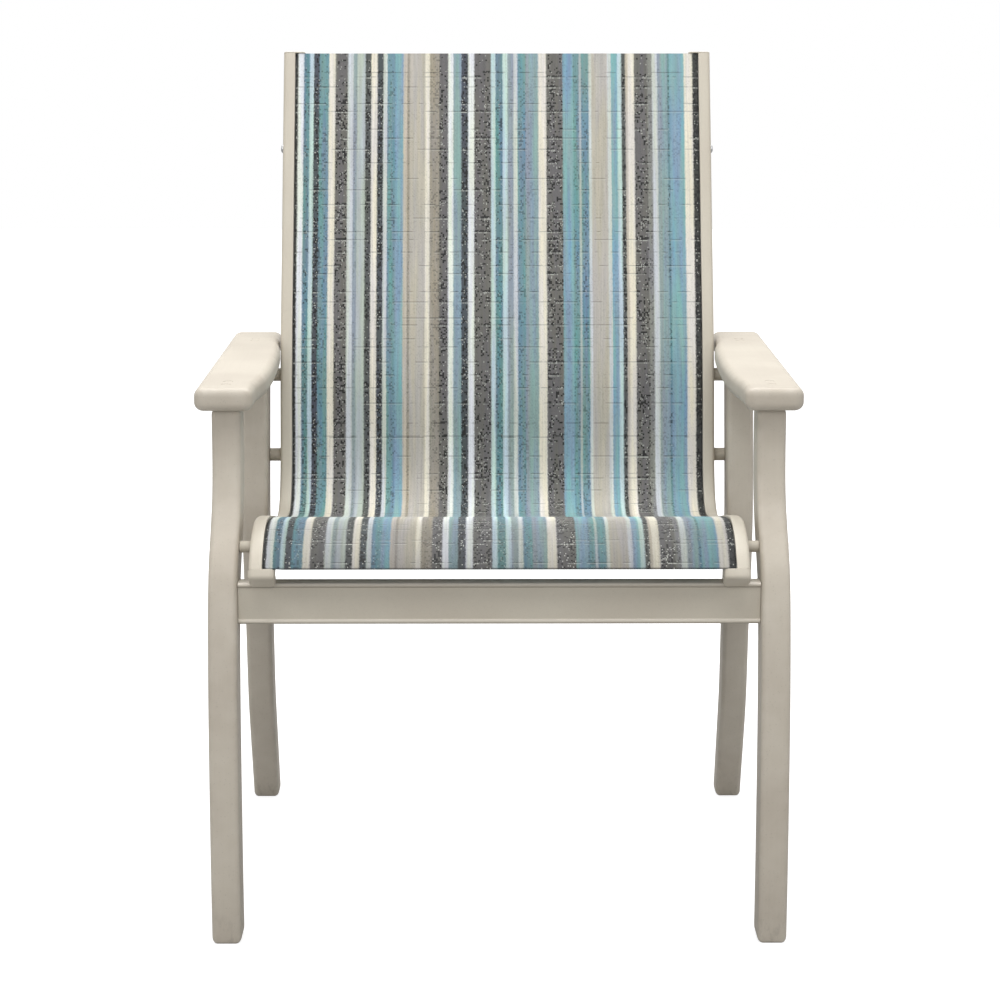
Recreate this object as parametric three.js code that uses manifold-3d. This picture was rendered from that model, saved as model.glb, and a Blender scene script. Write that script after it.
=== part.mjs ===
// Sling patio chair: two side frames of solid polymer board, two aluminium beams between them,
// and a striped sling stretched in two bent aluminium rails that stand off the frames on spacers.
// Millimetres, +Z up, the sitter faces -Y, left and right are as seen from the front.
import * as THREE from 'three';
import { mergeVertices } from 'three/addons/utils/BufferGeometryUtils.js';
import Module from 'manifold-3d';

const wasm = await Module();
wasm.setup();

// Overall sizes
const frameWidth = 626; // across the outer faces of the legs
const armTop = 600; // floor to the top of the arms
const seatTop = 453.5; // floor to the crest of the front roll
const seatLow = 397; // floor to the lowest part of the seat
const backTop = 946; // floor to the top end of the rails
const boardThick = 31.75; // the legs' boards
const edgeRound = 6; // rounded edges of the legs

// Front to back places, measured from the foremost face of the front legs
const railNose = -4; // front end of the rails
const backStart = 493; // where seat turns into back
const backLean = 158; // how far the back leans from there to its top

// Clearances
const seatGap = 0.3; // between pieces that rest on each other
const boreGap = 0.35; // round a bolt or screw in its bore
const slotGap = 0.6; // each side of the fabric in its slot
const overrun = 2; // how far a cutter runs past the face that it cuts

// Resolution of the round shapes
const boltSides = 8;
const nutSides = 6;
const holeSides = 12;
const spacerSides = 14;
const edgeSteps = 2;
const beadSteps = 4;
const bendStep = THREE.MathUtils.degToRad(11); // turn of a bent rail between two stations
const straightStep = 120; // longest run between two stations
const walkStep = 3;
const weldDistance = 0.001;
const fullTurn = 360; // degrees
const quarterTurn = 90;

// Front legs: the face runs straight down from the arm, steps forward at a knee, then drops to the foot
const frontLegDepth = 49;
const frontLegReach = 98; // how far the foot stands ahead of the top
const frontLegShares = [
  [0, 0.03], [0.12, 0], [0.35, 0.01], [0.48, 0.05], [0.6, 0.14], [0.68, 0.25], [0.725, 0.38],
  [0.76, 0.55], [0.795, 0.73], [0.83, 0.88], [0.865, 0.96], [0.92, 1], [1, 1],
];
const frontLegSteps = 15;

// Rear legs: lean back above the seat, sweep back in a sabre curve below it
const rearLegAhead = 71.95; // foremost point of the face, ahead of the upper rail bolt
const rearLegSweep = 119; // how far back the foot stands from there
const rearLegDepth = 58; // widest, at the top
const rearLegShares = [
  [0, 1], [0.07, 0.84], [0.15, 0.65], [0.25, 0.44], [0.42, 0.27], [0.52, 0.13], [0.61, 0.03],
  [0.68, 0], [0.73, 0.02], [0.8, 0.07], [0.9, 0.16], [1, 0.245],
];
const rearLegDepthShares = [0.64, 0.76, 0.9, 0.97, 1]; // foot to top
const rearLegSteps = 13;

// Arms
const armThick = 25.4;
const armOverhang = 17; // past the outer face of the legs
const armEdge = 9; // bullnose radius
const armCorner = 12; // corner radius seen from above
const armFrontOverhang = 22; // past the face of the front legs
const armRearOverhang = 51.95; // past the back of the rear legs
const armInsideFront = 15.25; // past the inner face of the legs, in front
const armInsideBelly = 23.25; // the same at its fullest
const armRailGap = 2.5; // beside the rail
// Each [along the arm, bulge]
const armEdgeShares = [[0.1, 0], [0.22, 0.72], [0.38, 1], [0.55, 0.86], [0.67, 0.6], [0.76, 0.22]];
const armStraightShare = 0.82; // from here on the inner edge is straight
const armEdgeSteps = 9;

// Sling rails: bent extrusions with a keyhole slot for the fabric and a hollow below it
const railGap = 14.25; // between a rail and the legs
const railWidth = 27;
const railDepth = 28;
const railWall = 1.8;
const railRound = 4;
const railProud = 1.5; // outer half above the fabric
const lipDrop = 1.5; // inner half below the fabric
const slotInset = 15.5; // slot's middle, from the rail's outer face
const channelDepth = 7.8; // centre of the round channel below the fabric
const seatPathShares = [
  [0, 0.173], [0.013, 0.372], [0.032, 0.549], [0.056, 0.701], [0.0885, 0.844], [0.129, 0.947],
  [0.174, 1], [0.233, 0.966], [0.334, 0.827], [0.515, 0.513], [0.7155, 0.177], [0.817, 0.041],
  [0.886, 0.011], [0.942, 0.204], [0.978, 0.589],
];
const backPathShares = [
  [0, 0], [0.095, 0.171], [0.266, 0.355], [0.42, 0.485], [0.576, 0.626], [0.715, 0.752],
  [0.861, 0.878], [1, 1],
];
const backFoot = 462; // height of the first point of the back

// Rail end caps
const frontCapLength = 11.5;
const topCapLength = 1.8; // a thin lid, flush with the rail
const capProud = 0.8; // the front cap stands out this far all round
const capRound = 6;
const capNose = 4; // rounding of the free end in front
const topCapNose = 0.9;
const tongueLength = 12; // of a cap, inside the rail

// Sling
const fabricThick = 1.2;
const rodDiameter = 5.2; // spline rod in the hem
const hemSides = 6;
const fabricTopInset = 0.3; // fabric ends short of the rails
const rodInset = 2; // rod ends inside the hem

// Cross beams: an extrusion with a round bead along the top and bottom of its face
const beamHeight = 45;
const beamDepth = 25.4;
const beamWall = 2;
const beadRadius = 2.5; // the face lies this far behind the beads
const beamRound = 2.5;
const frontBeamFace = 28; // behind the foremost face of the front legs
const frontBeamTop = 396;
const rearBeamTop = 298;
const rearBeamInset = 39; // rearmost face of the rear beam, behind the face of the rear legs
const webHeight = 11; // thick web round each screw channel
const beamBoltSpacing = 18;

// Spacers between rails and legs
const frontSpacerDiameter = 12.7;
const backSpacerDiameter = 15.9;
const frontSpacerInset = 13.9; // behind the face of the front legs
const upperSpacerDrop = 46; // below the top of the arms
const backSpacerSpacing = 97; // between the two on the back, in height

// Fasteners
const boltDiameter = 6.35;
const boltHeadDiameter = 13;
const boltHeadThick = 4.2;
const boltHeadSink = 1.2; // head below the leg's outer face
const counterboreDiameter = 15;
const nutWidth = 11.4;
const nutThick = 9;
const nutBlind = 3; // closed end of a cap nut
const boltPastRail = 5; // thread in the nut
const beamBoltReach = 34; // thread in a beam
const armScrewDiameter = 4.8;
const armScrewLength = 56;
const armScrewHead = 9.4;
const armScrewHeadThick = 2.6;
const armScrewSink = 5.4; // head below the arm's top, room for a flush plug
const armHoleDiameter = 10.4;
const frontArmScrewSpacing = 24;
const rearArmScrewSpacing = 18; // between the legs' face and the upper rail bolt

// Spreader tubes between the rails, bowed away from the fabric
const spreaderDiameter = 16;
const spreaderWall = 1.6;
const seatSpreaderAlong = 227; // along the rail from its nose
const backSpreaderFromTop = 120; // along the rail from its top end
const spreaderBow = 30;
const spreaderSides = 10;
const spreaderBowShares = [0, 0.035, 0.1, 0.2, 0.35, 0.5, 0.65, 0.8, 0.9, 0.965, 1];
const threadedEnd = 16; // solid threaded end of a spreader tube
const spreaderScrewDiameter = 6;
const spreaderScrewHead = 11;
const spreaderScrewHeadThick = 3.4;
const spreaderScrewInTube = 14;

// Worked out from the sizes above
const legOuter = frameWidth / 2;
const legInner = legOuter - boardThick;
const legMiddle = (legOuter + legInner) / 2;
const legTop = armTop - armThick - seatGap;
const railOuter = legInner - railGap;
const railInner = railOuter - railWidth;
const armInnerFront = legInner - armInsideFront;
const armBelly = legInner - armInsideBelly;
const armInnerRear = railOuter + armRailGap;
const slotMiddle = railOuter - slotInset;
const rodRadius = rodDiameter / 2;
const hemBore = (rodRadius + boreGap) / Math.cos(Math.PI / hemSides);
const hemRadius = hemBore + fabricThick;
const slotHalf = fabricThick / 2 + slotGap;
const channelRadius = (hemRadius + slotGap) / Math.cos(Math.PI / hemSides);
const hollowTop = -channelDepth - channelRadius - railWall;
const hollowBottom = railWall - railDepth;
const boltLine = (hollowTop + hollowBottom) / 2; // bolts cross the hollow at its middle
const boltRadius = boltDiameter / 2;
const upperSpacerHeight = armTop - upperSpacerDrop;
const lowerSpacerHeight = upperSpacerHeight - backSpacerSpacing;
const boltHeadUnder = legOuter - boltHeadSink - boltHeadThick;

const frameMaterial = { color: 0xb9b1a4, roughness: 0.55, metalness: 0 };
const metalMaterial = { color: 0xb5ad9f, roughness: 0.45, metalness: 0.1 };
const steelMaterial = { color: 0xb4b6b8, roughness: 0.35, metalness: 1 };
const plasticMaterial = { color: 0xa9a194, roughness: 0.6, metalness: 0 };
const fabricMaterial = { color: 0x6f9fb0, roughness: 0.85, metalness: 0 };
const rodMaterial = { color: 0xd8d8d2, roughness: 0.6, metalness: 0 };

// Working with closed bodies

function welded(geometry) {
  const bare = geometry.clone();
  bare.deleteAttribute('normal');
  bare.deleteAttribute('uv');
  const joined = mergeVertices(bare, weldDistance);
  const corners = [];
  for (let i = 0; i < joined.index.count; i += 3) {
    const [a, b, c] = [0, 1, 2].map((k) => joined.index.getX(i + k));
    if (a !== b && b !== c && c !== a) corners.push(a, b, c);
  }
  joined.setIndex(corners);
  return joined;
}

function turnedOver(geometry) {
  const flipped = geometry.clone();
  const corners = Array.from(flipped.index.array);
  for (let i = 0; i < corners.length; i += 3) [corners[i], corners[i + 1]] = [corners[i + 1], corners[i]];
  flipped.setIndex(corners);
  return flipped;
}

function volumeOf(geometry) {
  const place = geometry.attributes.position;
  const corner = [new THREE.Vector3(), new THREE.Vector3(), new THREE.Vector3()];
  let total = 0;
  for (let i = 0; i < geometry.index.count; i += 3) {
    corner.forEach((point, k) => point.fromBufferAttribute(place, geometry.index.getX(i + k)));
    total += corner[0].dot(corner[1].clone().cross(corner[2])) / 6;
  }
  return total;
}

function facingOut(geometry) {
  const body = welded(geometry);
  return volumeOf(body) < 0 ? turnedOver(body) : body;
}

function toSolid(geometry) {
  const body = facingOut(geometry);
  return new wasm.Manifold(new wasm.Mesh({
    numProp: 3,
    vertProperties: new Float32Array(body.attributes.position.array),
    triVerts: new Uint32Array(body.index.array),
  }));
}

function toGeometry(solid) {
  const mesh = solid.getMesh();
  const geometry = new THREE.BufferGeometry();
  geometry.setAttribute('position', new THREE.BufferAttribute(new Float32Array(mesh.vertProperties), 3));
  geometry.setIndex(new THREE.BufferAttribute(new Uint32Array(mesh.triVerts), 1));
  return geometry;
}

function cut(geometry, cutters) {
  const solid = cutters.reduce((rest, cutter) => rest.subtract(toSolid(cutter)), toSolid(geometry));
  return toGeometry(solid);
}

function joined(geometry, others) {
  const solid = others.reduce((whole, other) => whole.add(toSolid(other)), toSolid(geometry));
  return toGeometry(solid);
}

function mirrored(geometry) {
  return turnedOver(geometry.clone().scale(-1, 1, 1));
}

// Shapes

// An arc's points about a centre, from one angle to another in degrees
function arc(x, y, radius, from, to, steps) {
  return Array.from({ length: steps + 1 }, (_, i) => {
    const angle = THREE.MathUtils.degToRad(from + ((to - from) * i) / steps);
    return [x + radius * Math.cos(angle), y + radius * Math.sin(angle)];
  });
}

// A rectangle with round corners, counter-clockwise from its lower right corner
function roundedBox(left, right, low, high, radius) {
  return [
    ...arc(right - radius, low + radius, radius, -90, 0, edgeSteps),
    ...arc(right - radius, high - radius, radius, 0, 90, edgeSteps),
    ...arc(left + radius, high - radius, radius, 90, 180, edgeSteps),
    ...arc(left + radius, low + radius, radius, 180, 270, edgeSteps),
  ];
}

const asVectors = (points) => points.map(([x, y]) => new THREE.Vector2(x, y));

// A solid swept through stations, each with an origin and the two axes of its section
function swept(stations, outline, holes = []) {
  const contour = asVectors(outline);
  const hollows = holes.map(asVectors);
  if (THREE.ShapeUtils.isClockWise(contour)) contour.reverse();
  hollows.forEach((ring) => THREE.ShapeUtils.isClockWise(ring) || ring.reverse());
  const rings = [contour, ...hollows];
  const section = rings.flat();
  const places = stations.flatMap(({ at, across, up }) => section.flatMap((point) => (
    at.clone().addScaledVector(across, point.x).addScaledVector(up, point.y).toArray()
  )));
  const corners = [];
  for (let bay = 0; bay < stations.length - 1; bay += 1) {
    let first = bay * section.length;
    for (const ring of rings) {
      for (let i = 0; i < ring.length; i += 1) {
        const a = first + i;
        const b = first + ((i + 1) % ring.length);
        corners.push(a, b, b + section.length, a, b + section.length, a + section.length);
      }
      first += ring.length;
    }
  }
  const last = (stations.length - 1) * section.length;
  for (const [a, b, c] of THREE.ShapeUtils.triangulateShape(contour, hollows)) {
    corners.push(a, c, b, last + a, last + b, last + c);
  }
  const geometry = new THREE.BufferGeometry();
  geometry.setAttribute('position', new THREE.Float32BufferAttribute(places, 3));
  geometry.setIndex(corners);
  return facingOut(geometry);
}

// A board with rounded edges: its outline lies in the Y-Z plane and it is thick along X
function board(outline, from, to, round) {
  const geometry = new THREE.ExtrudeGeometry(new THREE.Shape(asVectors(outline)), {
    depth: to - from - 2 * round,
    bevelEnabled: true,
    bevelThickness: round,
    bevelSize: round,
    bevelOffset: -round,
    bevelSegments: edgeSteps,
  });
  geometry.applyMatrix4(new THREE.Matrix4().makeBasis(
    new THREE.Vector3(0, 1, 0),
    new THREE.Vector3(0, 0, 1),
    new THREE.Vector3(1, 0, 0),
  ));
  return facingOut(geometry.translate(from + round, 0, 0));
}

// A turned piece: profile points are [radius, along], its axis lies along X
function turned(profile, sides, y, z) {
  const geometry = new THREE.LatheGeometry(asVectors(profile), sides);
  geometry.rotateZ(-Math.PI / 2);
  return facingOut(geometry.translate(0, y, z));
}

function pin(from, to, radius, sides, y, z) {
  return turned([[0, from], [radius, from], [radius, to], [0, to]], sides, y, z);
}

// The same along Z
function uprightPin(low, high, radius, sides, x, y) {
  const geometry = new THREE.CylinderGeometry(radius, radius, high - low, sides);
  geometry.rotateX(Math.PI / 2);
  return facingOut(geometry.translate(x, y, (low + high) / 2));
}

// The sling's path and the bolts along it

// The path runs from the rail's nose over the front roll, down to the bend and up the back
const slingCurve = new THREE.CatmullRomCurve3([
  ...seatPathShares.map(([along, height]) => new THREE.Vector3(
    0,
    THREE.MathUtils.lerp(railNose, backStart, along),
    THREE.MathUtils.lerp(seatLow, seatTop, height),
  )),
  ...backPathShares.map(([along, height]) => new THREE.Vector3(
    0,
    backStart + backLean * along,
    THREE.MathUtils.lerp(backFoot, backTop, height),
  )),
], false, 'centripetal');
slingCurve.arcLengthDivisions = 800;
const slingLength = slingCurve.getLength();

// A station on that path: across the chair is +X, up is towards the sitter
function stationAt(distance) {
  const share = THREE.MathUtils.clamp(distance / slingLength, 0, 1);
  const along = slingCurve.getTangentAt(share);
  return {
    distance,
    at: slingCurve.getPointAt(share),
    along,
    across: new THREE.Vector3(1, 0, 0),
    up: new THREE.Vector3(0, -along.z, along.y),
  };
}

// Where a bolt crosses the rail at a distance along it
function boltPlace(distance) {
  const { at, up } = stationAt(distance);
  const point = at.clone().addScaledVector(up, boltLine);
  return [point.y, point.z];
}

// The first place of a bolt, between two distances along the rail, that is past what it is asked to pass
function boltPast(from, to, isPast) {
  let [low, high] = [from, to];
  while (high - low > weldDistance) {
    const middle = (low + high) / 2;
    if (isPast(boltPlace(middle))) high = middle;
    else low = middle;
  }
  return boltPlace(low);
}

const backBoltAt = (height) => boltPast(slingLength / 2, slingLength, ([, z]) => z > height);
const lowerBackBolt = backBoltAt(lowerSpacerHeight);
const upperBackBolt = backBoltAt(upperSpacerHeight);

// Side frames

// A leg's outline: its face is a curve from floor to top, its back is that curve offset by the depth
function legOutline(faceShares, foremost, sweep, steps, depthAt) {
  const face = new THREE.CatmullRomCurve3(
    faceShares.map(([height, reach]) => new THREE.Vector3(0, foremost + reach * sweep, height * legTop)),
    false,
    'centripetal',
  );
  const front = face.getSpacedPoints(steps);
  const back = front.map((point, i) => {
    const along = face.getTangentAt(i / steps);
    const depth = depthAt(i / steps);
    const offset = point.clone().add(new THREE.Vector3(0, along.z * depth, -along.y * depth));
    const end = i === 0 || i === steps;
    return end ? offset.addScaledVector(along, (point.z - offset.z) / along.z) : offset;
  });
  return [...front, ...back.reverse()].map((point) => [point.y, point.z]);
}

function depthFrom(shares, depth) {
  return (t) => {
    const place = t * (shares.length - 1);
    const first = Math.min(Math.floor(place), shares.length - 2);
    return depth * THREE.MathUtils.lerp(shares[first], shares[first + 1], place - first);
  };
}

const frontLegOutline = legOutline(frontLegShares, 0, frontLegReach, frontLegSteps, () => frontLegDepth);
const rearLegOutline = legOutline(
  rearLegShares,
  upperBackBolt[0] - rearLegAhead,
  rearLegSweep,
  rearLegSteps,
  depthFrom(rearLegDepthShares, rearLegDepth),
);

// The face and the back of a leg at its top, where the arm screws go in
function topEdges(outline) {
  const ys = outline.filter(([, z]) => z > legTop - seatGap).map(([y]) => y);
  return [Math.min(...ys), Math.max(...ys)];
}

// The face of a leg at a height
function faceAt(outline, height) {
  const next = outline.findIndex(([, z]) => z > height);
  const [[y0, z0], [y1, z1]] = outline.slice(next - 1, next + 1);
  return THREE.MathUtils.mapLinear(height, z0, z1, y0, y1);
}

const frontBolt = boltPast(0, slingLength / 2, ([y, z]) => (
  y > faceAt(frontLegOutline, z) + frontSpacerInset
));
const rearBeamFace = faceAt(rearLegOutline, rearBeamTop - beamHeight / 2) + rearBeamInset;

const [frontLegTopFace, frontLegTopBack] = topEdges(frontLegOutline);
const [rearLegTopFace, rearLegTopBack] = topEdges(rearLegOutline);
const armFront = frontLegTopFace - armFrontOverhang;
const armRear = rearLegTopBack + armRearOverhang;
const armLength = armRear - armFront;

const railStart = frontCapLength;
const railEnd = slingLength - topCapLength;
const fabricStart = railStart + seatGap;
const fabricEnd = railEnd - fabricTopInset;
const rodStart = fabricStart + rodInset;
const rodEnd = fabricEnd - rodInset;

// Stations close together in the bends and far apart on the straights, with every end among them
const marks = [
  0,
  capNose / 3,
  capNose,
  railStart - tongueLength / 2,
  railStart - seatGap,
  railStart,
  fabricStart,
  rodStart,
  railStart + tongueLength,
  railEnd - tongueLength,
  rodEnd,
  fabricEnd,
  railEnd,
  railEnd + seatGap,
  slingLength - topCapNose,
  slingLength - topCapNose / 3,
  slingLength,
];

function spineThrough(places) {
  const spine = [stationAt(places[0])];
  for (const place of places.slice(1)) {
    let kept = spine[spine.length - 1];
    for (let distance = kept.distance + walkStep; distance < place - walkStep; distance += walkStep) {
      const here = stationAt(distance);
      if (here.along.angleTo(kept.along) > bendStep || distance - kept.distance > straightStep) {
        spine.push(here);
        kept = here;
      }
    }
    spine.push(stationAt(place));
  }
  return spine;
}

const spine = spineThrough(marks);
const between = (from, to) => spine.filter(({ distance }) => distance >= from && distance <= to);

const spacers = [
  { name: 'front_spacer', place: frontBolt, diameter: frontSpacerDiameter },
  { name: 'lower_back_spacer', place: lowerBackBolt, diameter: backSpacerDiameter },
  { name: 'upper_back_spacer', place: upperBackBolt, diameter: backSpacerDiameter },
];
const spreaders = [
  { name: 'seat_spreader', distance: seatSpreaderAlong },
  { name: 'back_spreader', distance: slingLength - backSpreaderFromTop },
];
const boltSpots = spacers.map(({ place }) => place);
const spreaderSpots = spreaders.map(({ distance }) => boltPlace(distance));

// Cross beams

// Section seen from the chair's right: first value back from the beads, second up from the underside
const beamOutline = [
  ...arc(beadRadius, beadRadius, beadRadius, 270, 90, beadSteps),
  ...arc(beadRadius, beamHeight - beadRadius, beadRadius, 270, 90, beadSteps),
  ...arc(beamDepth - beamRound, beamHeight - beamRound, beamRound, 90, 0, edgeSteps),
  ...arc(beamDepth - beamRound, beamRound, beamRound, 0, -90, edgeSteps),
];
const cavityFront = beadRadius + beamWall;
const cavityBack = beamDepth - beamWall;
const beamMiddle = (cavityFront + cavityBack) / 2;
const lowChannel = (beamHeight - beamBoltSpacing) / 2;
const highChannel = (beamHeight + beamBoltSpacing) / 2;
const beamCavities = [
  [beamWall, lowChannel - webHeight / 2],
  [lowChannel + webHeight / 2, highChannel - webHeight / 2],
  [highChannel + webHeight / 2, beamHeight - beamWall],
].map(([low, high]) => [[cavityFront, low], [cavityBack, low], [cavityBack, high], [cavityFront, high]]);
const beamChannels = [lowChannel, highChannel];
const channelHole = (z) => arc(beamMiddle, z, boltRadius + boreGap, 0, 360, boltSides).slice(1);

function beam(name, placeY, placeZ, facing) {
  const turn = (points) => points.map(([y, z]) => [facing * y, z]);
  const holes = [...beamCavities, ...beamChannels.map(channelHole)].map(turn);
  const half = legInner - seatGap;
  const ends = [-half, half].map((x) => ({
    at: new THREE.Vector3(x, placeY, placeZ),
    across: new THREE.Vector3(0, 1, 0),
    up: new THREE.Vector3(0, 0, 1),
  }));
  return part(name, swept(ends, turn(beamOutline), holes), metalMaterial);
}

const frontBeamBolts = beamChannels.map((z) => [frontBeamFace + beamMiddle, frontBeamTop - beamHeight + z]);
const rearBeamBolts = beamChannels.map((z) => [rearBeamFace - beamMiddle, rearBeamTop - beamHeight + z]);

// Two arm screws, evenly placed between two lines across the leg
function screwPair(fore, aft, spacing) {
  const middle = (fore + aft) / 2;
  return [[legMiddle, middle - spacing / 2], [legMiddle, middle + spacing / 2]];
}

const frontArmScrews = screwPair(frontLegTopFace, frontLegTopBack, frontArmScrewSpacing);
const rearArmScrews = screwPair(rearLegTopFace, upperBackBolt[0], rearArmScrewSpacing);
const armScrewSpots = [...frontArmScrews, ...rearArmScrews];

// Bores

// A bolt's bore right through a leg, with the counterbore for its head in the outer face
function legBore([y, z]) {
  return [
    pin(legInner - overrun, legOuter + overrun, boltRadius + boreGap, boltSides, y, z),
    pin(boltHeadUnder - seatGap, legOuter + overrun, counterboreDiameter / 2, holeSides, y, z),
  ];
}

const armCounterbore = armScrewSink + armScrewHeadThick + seatGap;
const armScrewTip = armTop - armScrewSink - armScrewLength;

function legTopBore([x, y]) {
  return uprightPin(
    armScrewTip - seatGap,
    legTop + overrun,
    armScrewDiameter / 2 + boreGap,
    boltSides,
    x,
    y,
  );
}

function legBoard(outline, bolts, screws) {
  return cut(board(outline, legInner, legOuter, edgeRound), [
    ...bolts.flatMap(legBore),
    ...screws.map(legTopBore),
  ]);
}

// Arm seen from above, with its belly towards the sitter
function armBoard() {
  const inner = armEdgeShares.map(([along, bulge]) => [
    THREE.MathUtils.lerp(armInnerFront, armBelly, bulge),
    armFront + along * armLength,
  ]);
  const innerEdge = new THREE.CatmullRomCurve3(
    [...inner, [armInnerRear, armFront + armStraightShare * armLength]].map(([x, y]) => (
      new THREE.Vector3(x, y, 0)
    )),
    false,
    'centripetal',
  ).getPoints(armEdgeSteps).map(({ x, y }) => [x, y]);
  const armOuter = legOuter + armOverhang;
  const outline = [
    ...arc(armInnerFront + armCorner, armFront + armCorner, armCorner, 180, 270, edgeSteps + 1),
    ...arc(armOuter - armCorner, armFront + armCorner, armCorner, 270, 360, edgeSteps + 1),
    ...arc(armOuter - armCorner, armRear - armCorner, armCorner, 0, 90, edgeSteps + 1),
    ...arc(armInnerRear + armCorner, armRear - armCorner, armCorner, 90, 180, edgeSteps + 1),
    ...innerEdge.reverse(),
  ];
  const geometry = new THREE.ExtrudeGeometry(new THREE.Shape(asVectors(outline)), {
    depth: armThick - 2 * armEdge,
    bevelEnabled: true,
    bevelThickness: armEdge,
    bevelSize: armEdge,
    bevelOffset: -armEdge,
    bevelSegments: edgeSteps + 1,
  });
  geometry.translate(0, 0, armTop - armThick + armEdge);
  return cut(geometry, armScrewSpots.flatMap(([x, y]) => [
    uprightPin(armTop - armThick - overrun, armTop, armScrewDiameter / 2 + boreGap, boltSides, x, y),
    uprightPin(armTop - armCounterbore, armTop + overrun, armHoleDiameter / 2, holeSides, x, y),
  ]));
}

// Sling rails, their caps and the sling

// The keyhole's points below the slot, going down one side, round the channel and up the other
function keyhole(halfWidth, radius, sides) {
  const open = THREE.MathUtils.radToDeg(Math.asin(halfWidth / radius));
  const upright = quarterTurn - open;
  return arc(slotMiddle, -channelDepth, radius, upright, upright + 2 * open - fullTurn, sides);
}

const railOutline = [
  ...arc(railOuter - railRound, railRound - railDepth, railRound, -90, 0, edgeSteps),
  ...arc(railOuter - railRound, railProud - railRound, railRound, 0, 90, edgeSteps),
  [slotMiddle + slotHalf, railProud],
  ...keyhole(slotHalf, channelRadius, hemSides),
  [slotMiddle - slotHalf, -lipDrop],
  ...arc(railInner + lipDrop, -2 * lipDrop, lipDrop, 90, 180, 1),
  ...arc(railInner + railRound, railRound - railDepth, railRound, 180, 270, edgeSteps),
];
const hollowOutline = [
  [railInner + railWall, hollowBottom],
  [railOuter - railWall, hollowBottom],
  [railOuter - railWall, hollowTop],
  [railInner + railWall, hollowTop],
];

function rail() {
  const bores = boltSpots.map(([y, z]) => (
    pin(railInner - overrun, railOuter + overrun, boltRadius + boreGap, boltSides, y, z)
  ));
  const screwRadius = spreaderScrewDiameter / 2 + boreGap;
  const screwBores = spreaderSpots.map(([y, z]) => (
    pin(railInner - overrun, railOuter + overrun, screwRadius, boltSides, y, z)
  ));
  return cut(swept(between(railStart, railEnd), railOutline, [hollowOutline]), [...bores, ...screwBores]);
}

// A cap's body is the rail's outline grown a little; its free end is rounded in steps
function railCap(stations, proud, round, insetAt, tongueStations) {
  const left = railInner - proud;
  const right = railOuter + proud;
  const low = -railDepth - proud;
  const high = railProud + proud;
  const middle = [(left + right) / 2, (low + high) / 2];
  const half = [(right - left) / 2, (high - low) / 2];
  const outline = roundedBox(-half[0], half[0], -half[1], half[1], round);
  const rounded = stations.map(({ distance, at, across, up }) => {
    const inset = insetAt(distance);
    return {
      at: at.clone().addScaledVector(across, middle[0]).addScaledVector(up, middle[1]),
      across: across.clone().multiplyScalar((half[0] - inset) / half[0]),
      up: up.clone().multiplyScalar((half[1] - inset) / half[1]),
    };
  });
  const tongue = [
    [railInner + railWall + seatGap, hollowBottom + seatGap],
    [railOuter - railWall - seatGap, hollowBottom + seatGap],
    [railOuter - railWall - seatGap, hollowTop - seatGap],
    [railInner + railWall + seatGap, hollowTop - seatGap],
  ];
  return joined(swept(rounded, outline), [swept(tongueStations, tongue)]);
}

// How far a rounded end of the given radius draws in at a distance from its tip
const noseInset = (radius, fromTip) => (
  fromTip >= radius ? 0 : radius - Math.sqrt(radius * radius - (radius - fromTip) ** 2)
);

function frontCap() {
  const tongueFrom = railStart - tongueLength / 2;
  return railCap(
    between(0, railStart - seatGap),
    capProud,
    capRound,
    (distance) => noseInset(capNose, distance),
    between(tongueFrom, railStart + tongueLength),
  );
}

function topCap() {
  return railCap(
    between(railEnd + seatGap, slingLength),
    0,
    railRound,
    (distance) => noseInset(topCapNose, slingLength - distance),
    between(railEnd - tongueLength, slingLength - topCapNose),
  );
}

function slingSheet() {
  const stem = fabricThick / 2;
  const rightHalf = [
    [slotMiddle - stem, -fabricThick],
    ...keyhole(stem, hemRadius, hemSides).reverse(),
    [slotMiddle + stem, -stem],
    [slotMiddle, 0],
  ];
  const leftHalf = rightHalf.map(([x, v]) => [-x, v]).reverse();
  const bore = arc(slotMiddle, -channelDepth, hemBore, 0, 360, hemSides).slice(1);
  const bores = [bore, bore.map(([x, v]) => [-x, v])];
  return swept(between(fabricStart, fabricEnd), [...rightHalf, ...leftHalf], bores);
}

function splineRod() {
  const section = arc(slotMiddle, -channelDepth, rodRadius, 0, 360, hemSides).slice(1);
  return swept(between(rodStart, rodEnd), section);
}

// Fasteners

// A button-headed bolt from the outer face of a leg to a tip inside
function bolt(tip, [y, z]) {
  return turned([
    [0, tip],
    [boltRadius, tip],
    [boltRadius, boltHeadUnder],
    [boltHeadDiameter / 2, boltHeadUnder],
    [boltHeadDiameter / 2, boltHeadUnder + boltHeadThick / 2],
    [boltHeadDiameter / 3, boltHeadUnder + boltHeadThick],
    [0, boltHeadUnder + boltHeadThick],
  ], boltSides, y, z);
}

// A closed cap nut against the rail's inner face
function capNut([y, z]) {
  const face = railInner - seatGap;
  const bore = (boltRadius + boreGap) / Math.cos(Math.PI / nutSides);
  const corner = nutWidth / 2 / Math.cos(Math.PI / nutSides);
  return turned([
    [bore, face],
    [corner, face],
    [corner, face - nutThick / 2],
    [corner / 2, face - nutThick],
    [0, face - nutThick],
    [0, face - nutThick + nutBlind],
    [bore, face - nutThick + nutBlind],
    [bore, face],
  ], nutSides, y, z);
}

function armScrew([x, y]) {
  const screw = turned([
    [0, 0],
    [armScrewDiameter / 4, 0],
    [armScrewDiameter / 2, armScrewDiameter],
    [armScrewDiameter / 2, armScrewLength - armScrewHeadThick],
    [armScrewHead / 2, armScrewLength - armScrewHeadThick],
    [armScrewHead / 2, armScrewLength],
    [0, armScrewLength],
  ], boltSides, 0, 0);
  return screw.rotateY(-Math.PI / 2).translate(x, y, armScrewTip);
}

// Spreaders

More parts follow.
